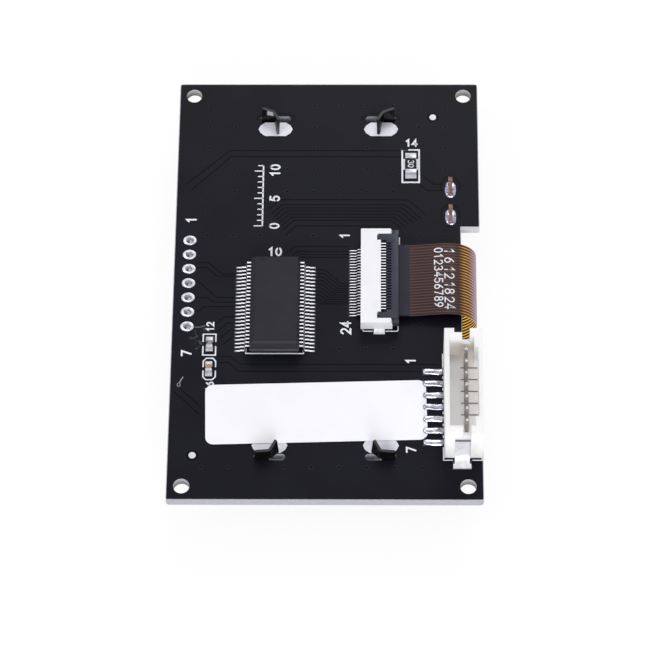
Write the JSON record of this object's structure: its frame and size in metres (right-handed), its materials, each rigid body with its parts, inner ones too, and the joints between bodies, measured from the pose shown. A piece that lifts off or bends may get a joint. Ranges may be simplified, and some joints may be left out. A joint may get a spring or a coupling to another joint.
{
  "type": "segment display module",
  "caption": "Flat segment display module with a black circuit board, folded metal bezel, driver chip, flexible cable in a flip-lock connector and a shrouded pin header.",
  "frame": {"origin": "on the resting display face, under the middle of the circuit board", "axes": "+X along the board's short side towards the header, +Y along its long side, +Z out of the back of the board"},
  "size_m": [0.0466, 0.0734, 0.0169],
  "materials": {
    "board": "black solder mask over glass laminate, semi-gloss",
    "bezel": "black painted steel sheet, satin",
    "cell_glass": "clear polished glass",
    "polariser": "grey-green polarising film",
    "white_plastic": "white moulded plastic",
    "clear_plastic": "clear light-guide plastic",
    "lamp": "white strip with lamps",
    "lead": "copper-coloured strip",
    "solder": "bright solder",
    "tin": "tinned metal",
    "cable": "amber film over copper traces",
    "stiffener": "dark stiffening film",
    "connector_white": "white moulded plastic",
    "latch": "dark grey moulded plastic",
    "header": "off-white moulded plastic",
    "chip": "black moulded epoxy",
    "ceramic": "black coated ceramic",
    "tan_ceramic": "tan ceramic",
    "label": "blank white label"
  },
  "bodies": {
    "module": {"circuit_board": "board", "bezel_frame": "bezel", "front_polariser": "polariser", "front_glass": "cell_glass", "rear_glass": "cell_glass", "rear_polariser": "polariser", "backlight_tray": "white_plastic", "diffuser_sheet": "white_plastic", "light_guide": "clear_plastic", "reflector_sheet": "white_plastic", "lamp_strip": "lamp", "lamp_leads": "lead", "lamp_solder": "solder", "flex_cable": "cable", "flex_stiffener": "stiffener", "flex_connector_housing": "connector_white", "flex_connector_contacts": "tin", "flex_connector_tabs": "tin", "header_housing": "header", "header_pins": "tin", "header_clips": "tin", "driver_chip_body": "chip", "driver_chip_leads": "tin", "resistor_small_body": "ceramic", "resistor_small_ends": "tin", "capacitor_body": "tan_ceramic", "capacitor_ends": "tin", "resistor_large_body": "ceramic", "resistor_large_ends": "tin", "lock_pads": "tin", "row_pads": "tin", "chip_pads": "tin", "connector_pads": "tin", "small_pads": "tin", "blank_label": "label"},
    "latch": {"flex_connector_latch": "latch"}
  },
  "joints": [
    {"name": "latch_flip", "type": "hinge", "parent": "module", "child": "latch", "pos_m": [0.00885, 0.00017, 0.01065], "axis": [0, -1, 0], "range_deg": [0, 90]}
  ]
}
